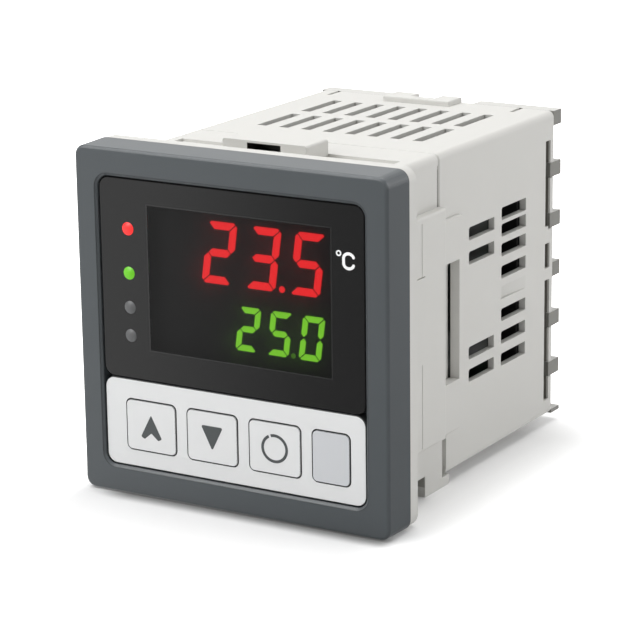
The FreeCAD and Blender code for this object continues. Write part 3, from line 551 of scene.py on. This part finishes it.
def lit(name, colour, rim_strength, core_strength, fade_mm, roughness, dark_from, dim_box=None,
        dim_share=1.0):
    """Lit resin: it shines in its own colour, most in the middle of each form, up to one depth."""
    material, tree = new_material(name)
    at_rim = 0.7
    strength = add_node(tree, "ShaderNodeMapRange", {0: flatness(tree, fade_mm).outputs["Value"], 1: at_rim,
                                                     2: 1.0, 3: rim_strength, 4: core_strength})
    ahead = within(tree, *slice_between(-far, dark_from))
    strength = add_node(tree, "ShaderNodeMath", {0: strength.outputs[0], 1: ahead.outputs[0]},
                        operation="MULTIPLY")
    if dim_box:
        share = add_node(tree, "ShaderNodeMapRange", {0: within(tree, *dim_box).outputs[0], 3: 1.0,
                                                      4: dim_share})
        strength = add_node(tree, "ShaderNodeMath", {0: strength.outputs[0], 1: share.outputs[0]},
                            operation="MULTIPLY")
    surface = add_node(tree, "ShaderNodeBsdfPrincipled", {
        "Base Color": linear(colour), "Roughness": roughness, "Emission Color": linear(colour),
        "Emission Strength": strength.outputs[0]})
    add_node(tree, "ShaderNodeOutputMaterial", {"Surface": surface.outputs[0]})
    return material


paint("display_module", moulded("black_display_block", "#393939", roughness=0.6, ior=1.45, grain_mm=0.5,
                                grain_depth_mm=0.004, mottle=0.05))
bars_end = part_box("upper_digits")[1].y
point_low, point_high = min(solid_boxes("lower_digits"), key=lambda box: (box[1] - box[0]).length)
point_margin = Vector((0.00005, 0.00005, 0.00005))
point_box = (point_low - point_margin, point_high + point_margin)
paint("upper_digits", lit("lit_red_bars", "#F5262A", rim_strength=0.4, core_strength=2.5, fade_mm=0.12,
                          roughness=0.4, dark_from=bars_end))
paint("lower_digits", lit("lit_green_bars", "#8CE636", rim_strength=0.3, core_strength=1.9, fade_mm=0.10,
                          roughness=0.4, dark_from=bars_end, dim_box=point_box, dim_share=0.10))


# Bezel
# Moulded in slate grey polycarbonate blend with a satin finish. Its edges are a little rounder than the
# case's, and a darker line of painted shade runs along them, where the round edge reflects little light.
def paint_rim_shade(tree, colour, rim_mm):
    """Lays a darker line of painted shade along a material's edges."""
    line_starts = 0.998
    line_full = 0.96
    rim = add_node(tree, "ShaderNodeMapRange", {0: flatness(tree, rim_mm).outputs["Value"],
                                                1: line_starts, 2: line_full, 3: 0.0, 4: 1.0})
    tint(tree, rim, colour)


slate = moulded("moulded_slate_polycarbonate", "#4D5255", roughness=0.33, ior=1.50, grain_mm=0.30,
                grain_depth_mm=0.001, mottle=0.02, edge_mm=0.11)
# A line of painted shade along the bezel's edges.
paint_rim_shade(slate.node_tree, "#24272A", rim_mm=0.28)
paint("front_bezel", slate)

# Window
# Smoked acrylic with a polished face, printed black round the display. A thin paler line along the
# print's edge is a painted highlight. Before the display it lets the bars' light through, and a soft glow.
window_clear = 0.5
window_haze = 0.16
window_shift = Vector((0.0010, 0, 0.0005))
# The paler line round the print is a painted highlight.
line_width = 0.00018
highlight_line_colour = "#262626"
print_colour = "#161616"
opening_colour = "#060606"
smoked, tree = new_material("smoked_acrylic")
window_low, window_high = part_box("display_window")
display_low, display_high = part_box("display_module")
opening_low = Vector((display_low.x, -far, display_low.z)) + window_shift
opening_high = Vector((display_high.x, far, display_high.z)) + window_shift
border = Vector((line_width, 0, line_width))
opening = within(tree, opening_low, opening_high)
line = within(tree, opening_low - border, opening_high + border)
print_tone = add_node(tree, "ShaderNodeMix", {0: line.outputs[0], 6: linear(print_colour),
                                              7: linear(highlight_line_colour)}, data_type="RGBA")
tone = add_node(tree, "ShaderNodeMix", {0: opening.outputs[0], 6: print_tone.outputs[2],
                                        7: linear(opening_colour)}, data_type="RGBA")
solid = add_node(tree, "ShaderNodeBsdfPrincipled", {
    "Base Color": tone.outputs[2], "Roughness": 0.14, "IOR": 1.49})
clear = add_node(tree, "ShaderNodeBsdfTransparent", {"Color": linear("#F0F0F0")})
haze = add_node(tree, "ShaderNodeBsdfTranslucent", {"Color": linear("#A0A0A0")})
inside = add_node(tree, "ShaderNodeMixShader", {0: window_haze, 1: clear.outputs[0], 2: haze.outputs[0]})
rear_face = within(tree, *slice_between((window_low.y + window_high.y) / 2, far))
share = add_node(tree, "ShaderNodeMath", {0: opening.outputs[0], 1: window_clear}, operation="MULTIPLY")
share = add_node(tree, "ShaderNodeMath", {0: share.outputs[0], 1: rear_face.outputs[0]},
                 operation="MAXIMUM")
face = add_node(tree, "ShaderNodeMixShader", {0: share.outputs[0], 1: solid.outputs[0],
                                              2: inside.outputs[0]})
add_node(tree, "ShaderNodeOutputMaterial", {"Surface": face.outputs[0]})
paint("display_window", smoked)


# Unit mark
# The degree ring and the letter are printed in white ink on the face of the window. The letter is one pen
# stroke with round ends.
def flat_piece(name, outlines, front, thickness, material, body):
    """A thin plate from closed outlines of x and z, from the front towards the rear."""
    mesh = bmesh.new()
    for outline in outlines:
        face = mesh.faces.new([mesh.verts.new((x, front, z)) for x, z in outline])
        face.normal_update()
        if face.normal.y > 0:
            face.normal_flip()
    bmesh.ops.remove_doubles(mesh, verts=mesh.verts, dist=1e-7)
    made = bmesh.ops.extrude_face_region(mesh, geom=list(mesh.faces))
    moved = [item for item in made["geom"] if isinstance(item, bmesh.types.BMVert)]
    bmesh.ops.translate(mesh, verts=moved, vec=(0, thickness, 0))
    bmesh.ops.recalc_face_normals(mesh, faces=mesh.faces)
    piece = mesh_object(name, mesh)
    piece.data.materials.append(material)
    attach(piece, body)


def arc_band(x, z, across, high, stroke, start, end, steps):
    """Pieces of a band that follows an oval arc, from one angle to the other, in degrees."""
    quads = []
    for index in range(steps):
        quad = []
        for part, inset in ((index, 0), (index + 1, 0), (index + 1, stroke), (index, stroke)):
            angle = math.radians(start + (end - start) * part / steps)
            quad.append((x + (across - inset) * math.cos(angle), z + (high - inset) * math.sin(angle)))
        quads.append(quad)
    return quads


def stroke_outline(path, width, cap_steps):
    """The closed outline of a pen stroke of one width along a path, with round ends."""
    path = [Vector(point) for point in path]
    sides = []
    for index in range(len(path)):
        ahead = path[min(index + 1, len(path) - 1)] - path[max(index - 1, 0)]
        sides.append(Vector((-ahead.y, ahead.x)).normalized() * (width / 2))
    outline = [point + side for point, side in zip(path, sides)]
    for step in range(1, cap_steps):
        outline.append(path[-1] + Matrix.Rotation(-math.pi * step / cap_steps, 2) @ sides[-1])
    outline += [point - side for point, side in reversed(list(zip(path, sides)))]
    for step in range(1, cap_steps):
        outline.append(path[0] + Matrix.Rotation(math.pi - math.pi * step / cap_steps, 2) @ sides[0])
    return [tuple(point) for point in outline]


white_ink = moulded("white_ink", "#FAFAFA", roughness=0.5, ior=1.45, grain_mm=0.3, grain_depth_mm=0.001,
                    mottle=0.01, edge_mm=0.02)
ink_thickness = 0.00002
window_front = window_low.y
letter_x = 0.01799
letter_z = front_size / 2 + 0.01257
letter_width = 0.0004
letter_across = 0.00074
letter_round = 0.00064
letter_straight = 0.00033
letter_mouth = 18
letter_steps = 16
degree_x = 0.01653
degree_z = front_size / 2 + 0.01348
degree_radius = 0.0004
degree_stroke = 0.0002
letter_path = []
for centre_z, first, last in ((letter_z + letter_straight, letter_mouth, 180),
                              (letter_z - letter_straight, 180, 360 - letter_mouth)):
    for step in range(letter_steps + 1):
        angle = math.radians(first + (last - first) * step / letter_steps)
        letter_path.append((letter_x + letter_across * math.cos(angle),
                            centre_z + letter_round * math.sin(angle)))
letter = stroke_outline(letter_path, letter_width, cap_steps=8)
degree_ring = arc_band(degree_x, degree_z, degree_radius, degree_radius, degree_stroke, 0, 360, steps=24)
flat_piece("unit_mark", [letter] + degree_ring, window_front - ink_thickness, ink_thickness, white_ink,
           "controller")

# Keypad plate and keys
# The plate and the caps are moulded in off-white polycarbonate with a satin face, and the last cap is a
# shade greyer. The gaps round the caps lie in shade, which is painted on, and a fine line of painted shade
# runs round each cap. The signs are printed on the caps in dark grey ink.
# Painted shade in the gaps behind the front, and along each cap's rim.
gap_from = window_front + 0.00003
gap_shade_colour = "#3C3E3F"
cap_rim_shade_colour = "#54575A"
cap_rim_mm = 0.08
off_white = moulded("moulded_off_white_polycarbonate", "#DFE0E0", roughness=0.42, ior=1.50, grain_mm=0.4,
                    grain_depth_mm=0.003, mottle=0.01, edge_mm=0.07)
cap_white = moulded("moulded_off_white_caps", "#DFE0E0", roughness=0.42, ior=1.50, grain_mm=0.4,
                    grain_depth_mm=0.003, mottle=0.01, edge_mm=0.07)
cap_grey = moulded("moulded_pale_grey_cap", "#C9CBCE", roughness=0.42, ior=1.50, grain_mm=0.4,
                   grain_depth_mm=0.003, mottle=0.01, edge_mm=0.07)
for material in (off_white, cap_white, cap_grey):
    tint(material.node_tree, within(material.node_tree, *slice_between(gap_from, far)), gap_shade_colour)
for material in (cap_white, cap_grey):
    paint_rim_shade(material.node_tree, cap_rim_shade_colour, cap_rim_mm)
paint("keypad_plate", off_white)
for name in ("key_up", "key_down", "key_set"):
    paint(name, cap_white)
paint("key_blank", cap_grey)

dark_ink = moulded("dark_grey_ink", "#4B4F50", roughness=0.5, ior=1.45, grain_mm=0.3, grain_depth_mm=0.001,
                   mottle=0.02, edge_mm=0.02)


def rounded_corners(points, radii, steps):
    """A closed outline with an arc at each corner, as a list of points."""
    outline = []
    for index, (corner, radius) in enumerate(zip(points, radii)):
        corner = Vector(corner)
        before = (Vector(points[index - 1]) - corner).normalized()
        after = (Vector(points[(index + 1) % len(points)]) - corner).normalized()
        half_angle = before.angle(after) / 2
        middle = corner + (before + after).normalized() * (radius / math.sin(half_angle))
        first = corner + before * (radius / math.tan(half_angle)) - middle
        last = corner + after * (radius / math.tan(half_angle)) - middle
        for step in range(steps + 1):
            spoke = first.lerp(last, step / steps).normalized() * radius
            outline.append(tuple(middle + spoke))
    return outline


def key_sign(name, node, shapes):
    """A sign printed on a key, from outlines about the middle of the key in metres."""
    low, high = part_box(node)
    x, z = (low.x + high.x) / 2, (low.z + high.z) / 2
    outlines = [[(x + a, z + b) for a, b in shape] for shape in shapes]
    flat_piece(name, outlines, low.y - ink_thickness, ink_thickness, dark_ink, node)


arrow_tip = 0.00165
arrow_notch = -0.00088
arrow_heel = (0.00168, -0.0015)
arrow_toe = (0.0011, -0.0018)
sharp = 0.00008
soft = 0.0002
blunt = 0.00015
arrow = [(0, arrow_tip), arrow_heel, arrow_toe, (0, arrow_notch), (-arrow_toe[0], arrow_toe[1]),
         (-arrow_heel[0], arrow_heel[1])]
key_sign("sign_up", "key_up", [rounded_corners(arrow, (sharp, soft, soft, sharp, soft, soft), steps=5)])
triangle_half = 0.00172
triangle_top = 0.00158
triangle_tip = -0.00178
triangle = [(-triangle_half, triangle_top), (triangle_half, triangle_top), (0, triangle_tip)]
key_sign("sign_down", "key_down", [rounded_corners(triangle, (soft, soft, blunt), steps=6)])
ring_across = 0.00205
ring_high = 0.00198
ring_stroke = 0.0004
ring_start = 118
ring_break = 10
ring = arc_band(0, 0, ring_across, ring_high, ring_stroke, ring_start, ring_start + 360 - ring_break,
                steps=60)
key_sign("sign_set", "key_set", ring)

# Indicators
# Light pipes of clear resin in the holes of the window, which shine at their ends alone. The two upper ones
# are lit red and green, and the two others are off and look grey.
pipe_end = window_front + 0.0002
paint("indicator_red", lit("lit_red_pipe", "#F02826", rim_strength=0.5, core_strength=0.62, fade_mm=0.2,
                           roughness=0.3, dark_from=pipe_end))
paint("indicator_green", lit("lit_green_pipe", "#60B41A", rim_strength=0.30, core_strength=0.38,
                             fade_mm=0.2, roughness=0.3, dark_from=pipe_end))
unlit = moulded("unlit_clear_resin", "#5E5F60", roughness=0.3, ior=1.49, grain_mm=0.5, grain_depth_mm=0.002,
                mottle=0.03)
paint("indicator_upper_off", unlit)
paint("indicator_lower_off", unlit)
